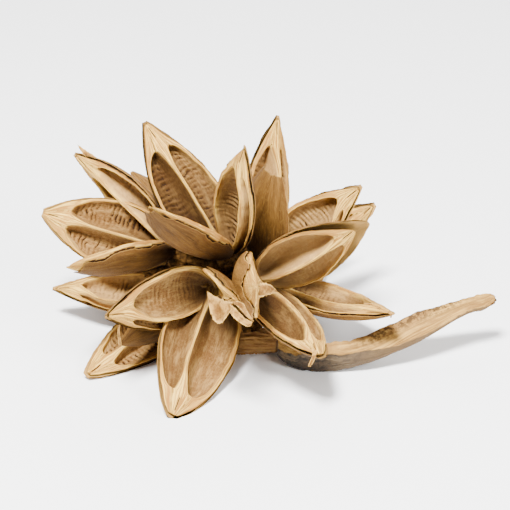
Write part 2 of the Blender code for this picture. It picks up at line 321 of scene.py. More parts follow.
def wood_tree(material):
    """The woody part: the grid's first columns cross the hollow side and the others go round the back."""
    patch, size = new_tree("valve_wood", VALVE_SIZES, ("Rows", "Columns"))
    grid, s, around = unit_grid(patch, size)
    behind = around.above(HOLLOW_SHARE + 0.0001)
    front = 1 - behind
    back_turn = (around - HOLLOW_SHARE) / (1 - HOLLOW_SHARE) * math.pi
    share = front * (1 - around / (HOLLOW_SHARE / 2)) - behind * back_turn.maths("COSINE")
    side = share.maths("SIGN")
    half = abs(share).at_most(1.0)
    width, rim, depth = valve_outline(s, size)
    ripple = patch.noise(patch.vector(s * 6, side * 1.2), 1.0, 2.0, 0.5, size["Seed"]) - 0.5
    gap = patch.noise(patch.vector(s * 5, side * 3.0, 5.0), 1.0, 2.0, 0.5, size["Seed"]).smooth(0.42, 0.7)
    width = width * (0.97 + 0.06 * ripple) - (0.0001 + gap * 0.0008)

    # two seed chambers, each between a line by the septum and a line inside the rim that meet at its ends
    q = (s - CHAMBER_START) / (size["Chamber End"] - CHAMBER_START)
    wobble = patch.noise(patch.vector(s * 9, side * 2.0, 3.0), 1.0, 2.0, 0.5, size["Seed"]) - 0.5
    open_share = (1 - abs(2 * q - 1) ** 5).at_least(0.0) ** 0.5
    septum = (width * 0.2).at_most(0.0007) + 0.0010 * q.smooth(0.75, 1.05)
    band = (width * 0.35).at_most(0.0015) * (1 + 0.6 * wobble)
    centre = 0.5 * (width - band + septum)
    reach = 0.5 * (width - band - septum) * open_share
    near_line = (centre - reach) * (1 - (1 - open_share) * 0.12)
    far_line = near_line + 2 * reach
    half_chamber = 0.5 * (RIM_START - SEPTUM_SHARE)
    y = ((half - SEPTUM_SHARE) / half_chamber - 1).at_least(-1.0).at_most(1.0)
    on_septum = (half / SEPTUM_SHARE).at_most(1.0)
    on_rim = ((half - RIM_START) / (1 - RIM_START)).at_least(0.0)
    out = near_line * on_septum + (far_line - near_line) * 0.5 * (y + 1) + (width - far_line) * on_rim
    lean = size["Lean"] * width * (1 - s.smooth(0.6, 0.97))
    shift = lean * (1 - out / width.at_least(0.0001)).at_least(0.0)
    across = front * (side * out + shift) + behind * share * width

    # the hollow side's height: a plain dished face, with the chambers sunk into it down to the shell
    level = (out / width.at_least(0.0001)).at_most(1.0)
    plain = rim * level**1.3 + ripple * 0.0012 * level
    trough = (1 - y * y).at_least(0.0) ** 0.55 * open_share.smooth(0.0, 0.55)
    aside = (abs(side * out + shift) / width.at_least(0.0001)).at_most(1.0)
    bowl = (1 - aside * aside).at_least(0.0) ** 0.5
    bottom = rim - depth * bowl + SHELL
    sunk = (plain - size["Chamber Depth"] * trough).at_least(bottom).at_most(plain)

    # uneven cross ribs in the chambers, a ridge on the septum, and a groove down the solid point
    jitter = patch.noise(patch.vector(q * 6, side * 4.0, y * 1.3), 1.0, 3.0, 0.6, size["Seed"]) - 0.5
    wave = ((q * RIB_COUNT + 0.6 * y * y + 2.4 * jitter) * math.tau).maths("SINE")
    uneven = patch.noise(patch.vector(q * 10, share * 4.0, 9.0), 1.0, 3.0, 0.6, size["Seed"])
    uneven = uneven.smooth(0.38, 0.58)
    ribbed = wave * uneven * trough * (0.35 + 0.65 * y.smooth(-0.9, 0.1))
    rib = ribbed * size["Rib Height"]
    hollow = ((plain - sunk) / 0.0016).smooth(0.1, 1.0)
    ridge = (1 - (out / 0.0009).smooth(0.2, 1.0)) * 0.0004 * (1 - s.smooth(0.75, 0.9))
    groove = (1 - (out / 0.0012).smooth(0.0, 1.0)) * 0.0009 * s.smooth(0.86, 0.92)
    grain = (jitter + ripple) * 0.0006 * (1 - hollow)
    face = sunk + rib + ridge - groove + grain

    # the back, bare above the skin's torn edge and beyond the skin's end
    turned = back_turn.maths("SINE")
    down = depth * turned
    keel_side = rim - down + 0.0011 * turned + ripple * 0.0012 * half
    edge_down = depth * skin_edge(patch, s, side, depth, size).maths("SINE")
    bare = 1 - (down - edge_down).smooth(-0.0010, -0.0007)
    bare = bare.at_least((s - size["Skin End"]).smooth(-0.05, 0.02))

    height = front * face + behind * keel_side
    ends = s.above(0.0001) * (1 - s.above(0.9999))
    along = s * (size["Length"] - size["Overhang"]) - (1 - s.smooth(0.0, 0.03)) * 0.0015
    mesh = marked(patch, grid, {
        "along": s, "across": share, "hollow": hollow * front,
        "rib": ribbed * (size["Rib Height"] * 2200).at_most(1.0), "valve": size["Seed"],
        # the back of the wood still under the skin, which the finish paints dark as shade in the gap
        "behind": behind * (1 - bare), "offset": side * out * 1000, "sunk": (plain - sunk) * 100 * front,
        "strata": front * on_rim * 1.5 + behind * (1.5 + down * 1000),
        # the valve's painted shading: painted shade where above nought, painted light where below, stronger
        # in one chamber and weaker in the other
        "stain": size["Painted Shading"] * (1 + size["Side Shading"] * side * front),
    })
    finished(patch, shaped(patch, mesh, across * ends, along, height * ends, s, size), material)
    return patch.tree


def mark(patch, name):
    """A number stored on the mesh's points."""
    return patch.add("ShaderNodeAttribute", {"attribute_name": name}).out("Fac")


def wood_finish(patch):
    """Pale cream rim, septum and point, browner ribbed chambers, and painted shade turning them deep brown
    towards the joined bases.
    """
    place = patch.add("ShaderNodeTexCoord").out("Object")
    names = ("along", "across", "hollow", "rib", "valve", "stain", "strata")
    s, across, hollow, rib, valve, stain, strata = (mark(patch, name) for name in names)
    grain = patch.noise(patch.vector(across * 34, s * 4.5, 0.0), 1.0, 5.0, 0.68, valve)
    smudge = patch.noise(patch.vector(across * 5, s * 9, 6.0), 1.0, 3.0, 0.6, valve)
    blotch = patch.noise(place, 90.0, 3.0, 0.55)
    fine = patch.noise(place, 900.0, 2.0, 0.6)

    # the rim, the septum and the point, with layers like growth lines on the rim and a rusty outer edge
    cream, grain_tan, amber = (0.76, 0.475, 0.105), (0.31, 0.145, 0.028), (0.48, 0.24, 0.053)
    blotch_tan, layer_tan, rust = (0.29, 0.122, 0.024), (0.32, 0.140, 0.028), (0.22, 0.080, 0.013)
    pale = patch.blend(grain.smooth(0.44, 0.57), grain_tan, cream)
    pale = patch.blend(smudge.smooth(0.50, 0.68) * 0.75, pale, amber)
    pale = patch.blend(blotch.smooth(0.56, 0.72) * 0.7, pale, blotch_tan)
    layers = patch.noise(patch.vector(strata * 1.2, s * 2.0, across * 0.8), 1.0, 3.0, 0.6, valve)
    pale = patch.blend(layers.smooth(0.47, 0.56) * strata.smooth(0.1, 0.5) * 0.7, pale, layer_tan)
    outer_edge = strata.smooth(1.25, 1.5) * (1 - strata.smooth(1.6, 1.9))
    pale = patch.blend(outer_edge * 0.6, pale, rust)

    # the chambers, lighter on the ribs' crests and near black at their feet, partly the ribs' own colour and
    # partly painted shade in their valleys, with painted light on a valve whose shading is below nought
    rib_valley_shade_brown, rib_crest, patch_tan = (0.056, 0.022, 0.005), (0.38, 0.200, 0.058), (0.50, 0.300, 0.098)
    blotch_brown, fibre_brown, fleck_tan = (0.15, 0.062, 0.014), (0.11, 0.048, 0.011), (0.44, 0.255, 0.085)
    painted_light_tan = (0.58, 0.35, 0.125)
    deep = patch.blend(rib.smooth(-1.0, 1.0), rib_valley_shade_brown, rib_crest)
    patchy = patch.noise(patch.vector(across * 8, s * 5, 3.0), 1.0, 4.0, 0.65, valve)
    deep = patch.blend(patchy.smooth(0.46, 0.62) * 0.75, deep, patch_tan)
    deep = patch.blend(blotch.smooth(0.48, 0.68) * 0.6, deep, blotch_brown)
    fibre = patch.noise(patch.vector(across * 90, s * 16, 2.0), 1.0, 3.0, 0.7, valve)
    deep = patch.blend(fibre.smooth(0.47, 0.60) * 0.55, deep, fibre_brown)
    deep = patch.blend(fine.smooth(0.5, 0.66) * 0.35, deep, fleck_tan)
    # painted light: a valve whose shading is below nought is lifted towards pale tan
    painted_light = (-1 * stain).at_least(0.0)
    deep = patch.blend(painted_light, deep, painted_light_tan)
    # painted shade deepening the rib valleys
    deep = patch.with_painted_shade((-1 * rib).smooth(0.1, 0.9) * 0.45, deep)

    # both together, with painted shade deep in the chambers and towards the crowded base, and painted shade
    # in the slit at the point and in the gap behind the skin
    hollow_shade_brown, base_shade_brown, speck_brown = (0.08, 0.032, 0.006), (0.070, 0.034, 0.011), (0.16, 0.08, 0.03)
    slit_shade_black, gap_shade_black = (0.03, 0.014, 0.006), (0.020, 0.008, 0.002)
    colour = patch.blend(hollow, pale, deep)
    # painted shade, darker the deeper the chamber is sunk
    sunk = mark(patch, "sunk").smooth(0.1, 1.1)
    colour = patch.blend(sunk * 0.5 * (1 - painted_light), colour, hollow_shade_brown)
    # painted shade in the chambers towards the base, where the capsules crowd together
    colour = patch.with_painted_shade((1 - s.smooth(0.12, 0.64)) * 0.72 * hollow * (1 - painted_light), colour)
    # painted shade over all the wood near the base
    colour = patch.blend((1 - s.smooth(0.02, 0.34)) * 0.85, colour, base_shade_brown)
    specks = fine.smooth(0.66, 0.74) * blotch.smooth(0.45, 0.6)
    colour = patch.blend(specks * 0.5, colour, speck_brown)
    # painted shade: a near-black line down the groove at the point stands in for the depth of the slit
    middle = 1 - abs(mark(patch, "offset")).smooth(0.14, 0.45)
    colour = patch.blend(middle * s.smooth(0.872, 0.89) * (1 - s.smooth(0.962, 0.975)), colour, slit_shade_black)
    # painted shade in the gap between the skin's torn edge and the wood
    colour = patch.blend(mark(patch, "behind"), colour, gap_shade_black)
    # painted shade over the chambers of a valve whose shading is above nought
    colour = patch.with_painted_shade(stain.at_least(0.0) * hollow, colour)
    relief = grain * 0.7 + fine * 0.4 + smudge * 0.6 + fibre * 0.5
    bump = patch.add("ShaderNodeBump", None, {"Strength": 0.85, "Distance": 0.0007, "Height": relief})
    return {"Base Color": colour, "Roughness": 0.62 + 0.2 * grain, "Normal": bump, "Specular IOR Level": 0.1}


valve_wood = finish_of("valve_wood", wood_finish)
wood_shape = wood_tree(valve_wood)


# Valve skin. A thin tan outer skin wraps the back of each valve. It has dried away from the wood, so a dark
# gap shows between the two along the rim and at the point, and its ragged edge lies below the wood's rim.
SKIN_THICKNESS = 0.0006


def skin_tree(material):
    """The skin: the grid's first half is its outer face and the second half its inner face."""
    patch, size = new_tree("valve_skin", VALVE_SIZES, ("Rows", "Columns"))
    grid, row, around = unit_grid(patch, size)
    inner_side = around.above(0.5001)
    t = (1 - inner_side) * (4 * around - 1) + inner_side * (3 - 4 * around)
    side = t.maths("SIGN")
    torn = patch.noise(patch.vector(t * 4.0, 2.0, 8.0), 1.0, 4.0, 0.65, size["Seed"]) - 0.5
    s = row * (size["Skin End"] + (1 - size["Skin End"]) * torn)
    edge = abs(t)
    width, rim, depth = valve_outline(s, size)
    ripple = patch.noise(patch.vector(s * 6, side * 1.2), 1.0, 2.0, 0.5, size["Seed"]) - 0.5
    flare = patch.noise(patch.vector(s * 5, side * 1.5, 11.0), 1.0, 2.0, 0.5, size["Seed"])
    thick = SKIN_THICKNESS * inner_side * (1 - row.above(0.9999))
    angle = t * (math.pi / 2 - skin_edge(patch, s, side, depth, size))
    lip = edge.smooth(0.75, 1.0)
    width = width * (0.97 + 0.06 * ripple) + 0.0004 - thick
    across = angle.maths("SINE") * width + side * lip * flare.smooth(0.45, 0.8) * 0.001
    height = rim - (depth - thick) * angle.maths("COSINE") + ripple * 0.0012 * edge
    along = s * size["Length"]
    # the skin carries its valve's painted shading too
    mesh = marked(patch, grid, {
        "along": s, "across": t, "valve": size["Seed"], "inside": inner_side, "stain": size["Painted Shading"],
    })
    finished(patch, shaped(patch, mesh, across, along, height, s, size), material)
    return patch.tree


def skin_finish(patch):
    """Golden tan with fine streaks along its length, rusty by its torn edges, paler on them and inside, with
    painted shade towards the base and on valves given painted shading.
    """
    place = patch.add("ShaderNodeTexCoord").out("Object")
    s, across, valve = (mark(patch, name) for name in ("along", "across", "valve"))
    streak = patch.noise(patch.vector(across * 46, s * 4.0), 1.0, 5.0, 0.7, valve)
    broad = patch.noise(patch.vector(across * 5, s * 4.0, 4.0), 1.0, 2.0, 0.5, valve)
    fine = patch.noise(place, 700.0, 2.0, 0.6)
    thread = patch.noise(patch.vector(across * 130, s * 9.0, 1.0), 1.0, 3.0, 0.6, valve)
    mottle = patch.noise(patch.vector(across * 22, s * 20, 7.0), 1.0, 3.0, 0.6, valve)
    tone = patch.noise(patch.vector(valve * 7.3), 1.0)
    streaks = (
        (0.36, (0.028, 0.010, 0.0015)), (0.66, (0.36, 0.190, 0.046)),
        (0.45, (0.085, 0.035, 0.006)), (0.54, (0.19, 0.088, 0.017)),
    )
    gold_tan, thread_brown, mottle_tan = (0.27, 0.14, 0.034), (0.070, 0.030, 0.006), (0.36, 0.195, 0.050)
    rust, torn_cream, base_shade_brown = (0.18, 0.070, 0.013), (0.50, 0.275, 0.070), (0.045, 0.018, 0.005)
    lining_cream = (0.52, 0.300, 0.085)
    colour = patch.add("ShaderNodeValToRGB", {"stops": streaks}, {"Fac": 0.6 * streak + 0.4 * broad})
    colour = patch.blend(tone.smooth(0.35, 0.65) * 0.3, colour, gold_tan)
    colour = patch.blend(thread.smooth(0.5, 0.64) * 0.55, colour, thread_brown)
    colour = patch.blend(mottle.smooth(0.5, 0.68) * 0.35, colour, mottle_tan)
    colour = patch.blend(abs(across).smooth(0.80, 0.93) * 0.45, colour, rust)
    colour = patch.blend(abs(across).smooth(0.945, 0.99) * 0.7, colour, torn_cream)
    # painted shade towards the base, where the capsules crowd together
    colour = patch.blend((1 - s.smooth(0.05, 0.46)) * 0.9, colour, base_shade_brown)
    colour = patch.blend(mark(patch, "inside") * 0.75, colour, lining_cream)
    # painted shade on the skin of a valve whose shading is above nought
    colour = patch.with_painted_shade(mark(patch, "stain").at_least(0.0), colour)
    relief = streak + 0.3 * fine + 0.6 * thread
    bump = patch.add("ShaderNodeBump", None, {"Strength": 0.8, "Distance": 0.0006, "Height": relief})
    roughness = 0.5 + 0.25 * streak
    return {"Base Color": colour, "Roughness": roughness, "Normal": bump, "Specular IOR Level": 0.12}


valve_skin = finish_of("valve_skin", skin_finish)
skin_shape = skin_tree(valve_skin)


# Capsules. Ten woody fruits crowd round the core, each split into three valves that stay joined at the base.
# Each is given by the place where its valves meet and by its valves. The three called back are out of sight
# from the front and hold the head up behind.
class Valve(NamedTuple):
    """One valve: the place of its tip, the way its hollow side looks (None for along the capsule's axis),
    its breadth and depth against the usual, and how finely it tapers to the tip. Then, in millimetres, how
    far its middle arches towards the hollow side, how far its skin reaches past the wood, how high its ribs
    are, how much of the wood the skin's edge leaves bare, and how deep its chambers are. Last, as shares,
    where the chambers and the skin end, how far the septum leans towards one rim, how much painted shade
    darkens the valve, or painted light lifts it where that is below nought, and how much more of that one
    chamber has."""

    tip: tuple
    looks: tuple | None = None
    breadth: float = 1.0
    depth: float = 1.0
    taper: float = 1.0
    arch: float = 3.0
    overhang: float = 1.5
    ribs: float = 0.55
    peel: float = 0.6
    chamber: float = 10.5
    chamber_end: float = 0.795
    skin_end: float = 1.0
    lean: float = 0.0
    stain: float = 0.0
    side_shading: float = 0.0


# The shading values below paint shade on some valves and light on others.
CAPSULES = {
    "capsule_top": (
        (0, 15, -8),
        (
            Valve((-44, 86, -23), (0.3, 0.2, 0.9), breadth=1.03, ribs=0.7, stain=0.6, side_shading=-0.3),
            Valve(
                (10, 68, 46), (-0.6, 0.1, 0.8), breadth=1.05, taper=1.2, arch=4.0, ribs=0.7, peel=2.2,
                lean=0.7, stain=-0.2,
            ),
            Valve((-39.2, 39.4, 57.7), breadth=0.95, overhang=5.0, peel=3.3, skin_end=0.93, stain=0.5),
        ),
    ),
    "capsule_top_right": (
        (21, 10, -30),
        (
            Valve((29, 91, -44), breadth=0.85, taper=1.1, arch=0.0, lean=0.4, stain=-0.35),
            Valve(
                (27, 62, 12), breadth=1.18, taper=0.8, arch=1.0, overhang=9.0, skin_end=0.92, stain=0.2,
            ),
            Valve(
                (72, 49.5, 2), (-0.2, 0.2, 1.0), breadth=1.05, taper=1.15, ribs=0.45, peel=1.6, lean=0.8,
                stain=-0.3,
            ),
        ),
    ),
    "capsule_left": (
        (-31, 16, -22),
        (
            Valve((-102, 37, -39), (0.0, 0.1, 1.0), breadth=1.22, taper=0.85, ribs=0.7),
            Valve((-85, 69, -42), arch=0.0, ribs=0.7, stain=-0.35),
            Valve(
                (-80, 7.5, 36), (-0.45, 0.8, -0.2), breadth=0.95, arch=5.0, overhang=0.0, peel=2.8,
                skin_end=0.89, stain=0.4,
            ),
        ),
    ),
    "capsule_front": (
        (-3, -4, -10),
        (
            Valve(
                (-59, -18, 42), (0.2, -0.3, 0.9), breadth=1.05, ribs=0.25, lean=-0.62, chamber=4.6,
                stain=0.25,
            ),
            Valve(
                (-26, -69, 37), (0.3, 0.2, 0.9), breadth=1.24, depth=0.9, taper=0.75, arch=4.0,
                ribs=0.08, lean=0.2, chamber=9.5, chamber_end=0.84, stain=0.18, side_shading=0.5,
            ),
            Valve((4.8, -8.5, 60), (-0.7, -0.7, 0.1), breadth=1.15, depth=0.8, skin_end=0.86, peel=2.6),
        ),
    ),
    "capsule_lower_left": (
        (-20, -10, -34),
        (
            Valve(
                (-97, -5, -46), (-0.1, 0.55, 0.85), breadth=0.85, taper=1.1, arch=6.0, lean=-0.75,
                chamber=6.5, stain=-0.35,
            ),
            Valve((-73, -50, 5), (-0.1, 0.4, 0.9), depth=0.75, taper=0.9, arch=0.0),
            Valve((-55, -33, 14), breadth=0.9, stain=0.5),
        ),
    ),
    "capsule_front_right": (
        (18, -2, -2),
        (
            Valve(
                (73, 29, 42), (0.3, -0.35, 0.9), breadth=1.1, overhang=9.0, ribs=0.15, lean=0.12,
                chamber_end=0.83, stain=-0.5,
            ),
            Valve(
                (49, -37, 48), (0.5, 0.4, 0.8), breadth=1.28, taper=0.7, peel=1.6, ribs=0.08, lean=-0.3,
                chamber_end=0.83, stain=0.5, side_shading=0.3,
            ),
            Valve((17.5, -2.0, 67), (1.0, 0.1, 0.0), breadth=1.25, depth=1.45, skin_end=0.82, peel=2.2),
        ),
    ),
    "capsule_right": (
        (30, 2, -38),
        (
            Valve((84, 42, -58), (0.1, -0.3, 0.9), breadth=0.9),
            Valve((89, -17, 6), (0.1, 0.9, 0.45), breadth=1.1, arch=0.0, lean=0.75, stain=-0.15),
            Valve((58, 3, -92), breadth=0.9),
        ),
    ),
    "capsule_back_left": (
        (-16, 18, -46),
        (
            Valve((-54, 60, -62), breadth=0.95),
            Valve((-72, 22, -92), breadth=0.95),
            Valve((-50, 24, -112), breadth=0.95),
        ),
    ),
    "capsule_back": (
        (0, 6, -56),
        (
            Valve((-18, 17.5, -120), breadth=0.9, arch=0.0),
            Valve((18, 15.4, -120), breadth=0.9, arch=0.0),
            Valve((-4, 52, -106), breadth=0.9),
        ),
    ),
    "capsule_back_right": (
        (22, 20, -50),
        (
            Valve((30, 70, -92), breadth=0.9),
            Valve((68, 38, -84), breadth=0.9),
            Valve((50, 28, -116), breadth=0.9),
        ),
    ),
}


def grown(tree, sizes):
    """The plain mesh that a Geometry Nodes tree gives for these sizes."""
    holder = bpy.data.objects.new("holder", bpy.data.meshes.new("holder"))
    bpy.context.scene.collection.objects.link(holder)
    modifier = holder.modifiers.new("shape", "NODES")
    modifier.node_group = tree
    for item in tree.interface.items_tree:
        if item.in_out == "INPUT" and item.name in sizes:
            modifier[item.identifier] = sizes[item.name]
    bpy.context.view_layer.update()
    mesh = bpy.data.meshes.new_from_object(holder.evaluated_get(bpy.context.evaluated_depsgraph_get()))
    bpy.data.objects.remove(holder)
    return mesh


def joined(name, meshes, materials):
    """One object at the origin from several meshes, which it uses up. Nothing on it goes below the table."""
    whole = bmesh.new()
    for mesh in meshes:
        whole.from_mesh(mesh)
        bpy.data.meshes.remove(mesh)
    for vert in whole.verts:
        vert.co.z = max(vert.co.z, 0.0)
    data = bpy.data.meshes.new(name)
    whole.to_mesh(data)
    whole.free()
    for material in materials:
        data.materials.append(material)
    piece = bpy.data.objects.new(name, data)
    bpy.context.scene.collection.objects.link(piece)
    return piece


# Torn scraps and frayed strands. Bits of the skins hang from the torn edges of five capsules as thin dry
# fibre. Each is a closed crumpled sheet, given by the points of its two long edges and by how many
# millimetres it bulges towards the eye.
SCRAPS = {
    "capsule_front": (
        (
            ((-8.3, -4.9, 44), (-4.1, -7.3, 50), (0.5, -9.1, 56), (5.0, -10.0, 61)),
            ((-7.8, -9.4, 45), (-5.5, -17.6, 54), (-1.5, -21.0, 58), (4.0, -14.4, 61)), -3.0,
        ),
        (
            ((5.0, -9.5, 61), (10.0, -10.5, 60), (12.9, -15.9, 61), (15.4, -19.3, 62)),
            ((5.5, -10.9, 61.5), (8.0, -12.7, 61), (11.5, -16.6, 62), (14.9, -19.6, 62)), 0.4,
        ),
        (
            ((3.6, -10.9, 62), (6.5, -13.3, 64), (11.0, -17.8, 64), (14.7, -19.8, 63)),
            ((3.8, -15.4, 62), (5.6, -17.5, 65), (11.0, -21.6, 66), (13.9, -21.7, 64)), -1.2,
        ),
    ),
    "capsule_front_right": (
        (
            ((17.4, -1.1, 60), (20.9, -0.7, 57), (23.9, -1.7, 54), (26.9, -4.8, 50)),
            ((17.4, -8.0, 60), (20.9, -7.1, 57), (23.9, -6.2, 54), (26.9, -5.5, 50)), 0.8,
        ),
        (
            ((44.5, -34.0, 50), (44.6, -36.6, 50.5), (43.6, -39.2, 51), (42.4, -42.4, 51)),
            ((46.9, -34.2, 50), (46.4, -37.2, 50.5), (45.2, -40.0, 51), (43.6, -42.6, 51)), 0.3,
        ),
    ),
    "capsule_left": (
        (
            ((-82.2, 74.4, -38), (-78.5, 71.8, -39), (-74.1, 69.0, -40), (-68.7, 64.6, -41)),
            ((-80.5, 71.0, -38), (-77.4, 67.2, -39), (-73.0, 64.0, -40), (-68.2, 60.5, -41)), 0.4,
        ),
    ),
    "capsule_right": (
        (
            ((73.0, -11.8, 8), (79.0, -12.6, 8), (84.4, -15.6, 8), (87.4, -16.6, 8), (87.6, -19.6, 8)),
            ((73.0, -12.8, 8), (79.0, -13.9, 8), (83.8, -16.6, 8), (86.4, -17.6, 8), (86.8, -19.8, 8)), 0.2,
        ),
    ),
    "capsule_lower_left": (
        (
            ((-54.0, -22.4, 34), (-54.5, -26.2, 30), (-54.6, -30.0, 26), (-54.4, -34.3, 22)),
            ((-52.9, -22.4, 34), (-53.3, -26.2, 30), (-53.0, -30.0, 26), (-52.9, -33.8, 22)), 0.2,
        ),
    ),
}


def smooth_path(points, t):
    """The place at t, from 0 to 1, on a smooth curve through these points."""
    spans = len(points) - 1
    i = min(int(t * spans), spans - 1)
    f = t * spans - i
    before, start, end, after = points[max(i - 1, 0)], points[i], points[i + 1], points[min(i + 2, spans)]
    return 0.5 * (
        2 * start + (end - before) * f + (2 * before - 5 * start + 4 * end - after) * f * f
        + (3 * start - before - 3 * end + after) * f * f * f
    )


def closed_mesh(name, shape, sharp_edge):
    """The shape as a mesh whose faces look outwards, smooth but for edges sharper than this."""
    bmesh.ops.recalc_face_normals(shape, faces=shape.faces)
    for face in shape.faces:
        face.smooth = True
    mesh = bpy.data.meshes.new(name)
    shape.to_mesh(mesh)
    shape.free()
    mesh.set_sharp_from_angle(angle=sharp_edge)
    return mesh


def closed_sheet(name, faces, marks):
    """A thin closed sheet from the grids of its two faces' points, with marks(i, j, side) stored on each."""
    sheet = bmesh.new()
    layers = {each: sheet.verts.layers.float.new(each) for each in marks(0, 0, 0)}
    sides = []
    for side, points in enumerate(faces):
        grid = [[sheet.verts.new(point) for point in row] for row in points]
        for i, row in enumerate(grid):
            for j, vert in enumerate(row):
                for each, value in marks(i, j, side).items():
                    vert[layers[each]] = value
        sides.append(grid)
        for one, two in zip(grid, grid[1:]):
            for j in range(len(one) - 1):
                sheet.faces.new((one[j], one[j + 1], two[j + 1], two[j]))
    rows, columns = len(faces[0]), len(faces[0][0])
    border = [(0, j) for j in range(columns)] + [(i, columns - 1) for i in range(1, rows)]
    border += [(rows - 1, j) for j in range(columns - 2, -1, -1)] + [(i, 0) for i in range(rows - 2, 0, -1)]
    for (i, j), (k, m) in zip(border, border[1:] + border[:1]):
        sheet.faces.new((sides[0][i][j], sides[0][k][m], sides[1][k][m], sides[1][i][j]))
    return closed_mesh(name, sheet, math.radians(60))


def ragged(t, u, repeats, lobes, seed):
    """Seeded noise along a torn edge, which fades out quickly towards the sheet's middle at u = 0.5."""
    edge = noise.fractal(Vector((t * repeats, round(u) * lobes, seed)), 0.6, 2.1, 4) * abs(2 * u - 1) ** 4
    return edge * (1 if u > 0.5 else -1)


def scrap(one_edge, other_edge, bulge):
    """A scrap between two edges, bulging towards the eye by this many millimetres, and crumpled."""
    rows, columns, thick = 40, 24, 0.00045
    edges = [[seen(*point) for point in edge] for edge in (one_edge, other_edge)]
    faces = [[], []]
    for i in range(rows):
        t = i / (rows - 1)
        start, end = (smooth_path(edge, t) for edge in edges)
        row = []
        for j in range(columns):
            u = j / (columns - 1)
            point = start.lerp(end, u + 0.08 * ragged(t, u, 14, 7, bulge))
            swell = bulge * MM * math.sin(math.pi * u) * math.sin(math.pi * min(max(t, 0.02), 0.98))
            crumple = 0.0004 * noise.fractal(Vector((t * 6, u * 3, bulge)), 0.6, 2.1, 3)
            row.append(point + NEAR * (swell + crumple))
        faces[0].append(row)
        faces[1].append([point - NEAR * thick for point in row])
    return closed_sheet(
        "scrap", faces,
        lambda i, j, side: {"along": 0.6, "across": j / (columns - 1) * 1.4 - 0.7, "inside": side},
    )


def torn_finish(patch):
    """Dry tan fibre, blotched and streaked with brown and cream towards its edges."""
    place = patch.add("ShaderNodeTexCoord").out("Object")
    streak = patch.noise(place, 380.0, 5.0, 0.7)
    blotch = patch.noise(place, 170.0, 3.0, 0.6)
    tan, blotch_brown = (0.40, 0.215, 0.052), (0.15, 0.066, 0.013)
    edge_cream, streak_brown = (0.66, 0.400, 0.115), (0.11, 0.045, 0.009)
    colour = patch.blend(blotch.smooth(0.4, 0.65), tan, blotch_brown)
    colour = patch.blend(abs(mark(patch, "across")).smooth(0.4, 0.66) * 0.7, colour, edge_cream)
    colour = patch.blend(streak.smooth(0.52, 0.60) * 0.75, colour, streak_brown)
    relief = streak + blotch
    bump = patch.add("ShaderNodeBump", None, {"Strength": 0.9, "Distance": 0.0005, "Height": relief})
    return {"Base Color": colour, "Roughness": 0.7, "Normal": bump, "Specular IOR Level": 0.12}


torn_skin = finish_of("torn_skin", torn_finish)


# The capsules put together. Each valve's wood and skin are grown along its length and turned to face its
# way. A capsule's woods are one piece, its skins another and its scraps, where it has any, a third.
WIDTH_SHARE, SINK_SHARE, DEPTH_SHARE = 0.21, 0.052, 0.115
FINE_WOOD, FINE_SKIN = (150, 80), (96, 64)
COARSE_WOOD, COARSE_SKIN = (60, 50), (48, 32)

for number, (capsule, (base, valves)) in enumerate(CAPSULES.items()):
    base = seen(*base)
    axis = sum(((seen(*valve.tip) - base).normalized() for valve in valves), Vector()).normalized()
    woods, skins = [], []
    for i, valve in enumerate(valves):
        tip = seen(*valve.tip)
        length = (tip - base).length
        along = (tip - base) / length
        looks = seen_way(*valve.looks) if valve.looks else axis
        up = (looks - looks.dot(along) * along).normalized()
        frame_turn = Matrix((along.cross(up), along, up)).transposed().to_4x4()
        sizes = {
            "Length": length, "Half Width": WIDTH_SHARE * length * valve.breadth,
            "Rim Sink": SINK_SHARE * length * valve.depth, "Keel Depth": DEPTH_SHARE * length * valve.depth,
            "Taper": valve.taper, "Arch": valve.arch * MM, "Overhang": valve.overhang * MM,
            "Rib Height": valve.ribs * MM, "Peel": valve.peel * MM,
            "Chamber End": valve.chamber_end, "Chamber Depth": valve.chamber * MM,
            "Skin End": valve.skin_end, "Lean": valve.lean, "Painted Shading": valve.stain, "Side Shading": valve.side_shading,
            "Seed": 3.7 * number + 1.3 * i,
        }
        wood_grid, skin_grid = (COARSE_WOOD, COARSE_SKIN) if "back" in capsule else (FINE_WOOD, FINE_SKIN)
        for tree, meshes, grid in ((wood_shape, woods, wood_grid), (skin_shape, skins, skin_grid)):
            mesh = grown(tree, {**sizes, "Rows": grid[0], "Columns": grid[1]})
            mesh.transform(Matrix.Translation(base) @ frame_turn)
            meshes.append(mesh)
    wood = joined(capsule + "_wood", woods, [valve_wood])
    skin = joined(capsule + "_skin", skins, [valve_skin])
    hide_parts(capsule)
    pieces = [wood, skin]
    scraps = [scrap(*each) for each in SCRAPS.get(capsule, ())]
    if scraps:
        pieces.append(joined(capsule + "_scraps", scraps, [torn_skin]))
    for piece in pieces:
        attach(piece, "root")


# Core and stalk. The capsules' bases meet in a dark crumbly core, near black partly as painted shade, with a
# neck to each of them and two dark lumps that fill the gaps at the left as painted shade. Below it runs a
# short thick stalk in brown ridged bark, cut across at its left end. Radii are in millimetres.
CORE = ((13, -30, -20), (10, -17, -24), (4, -5, -27), (0, 8, -32))
CORE_RADII = (6.6, 8.5, 9.5, 8)
NECK_RADII = (5, 4.8, 4.2)
# these two lumps are painted shade: dark core filling gaps where only shadow lies between the valves
LEFT_GAP = ((-30, 14, -24), (-22, 6, -31), (-19, -2, -33), (-20, -10, -34))
LEFT_GAP_RADII = (4.5, 5.0, 5.0, 4.5)
LOWER_GAP = ((-20, 2, -32), (-30, 3.8, -34), (-38, 5.0, -35), (-45, 3.8, -36))
LOWER_GAP_RADII = (4.5, 4.4, 4.0, 3.0)
STALK = ((-12, -32, -21), (4, -33, -20), (17, -33, -20), (28, -33.5, -18))
STALK_RADII = (6.6, 7, 7, 5.4)
LUMPS_PER_METRE = 220


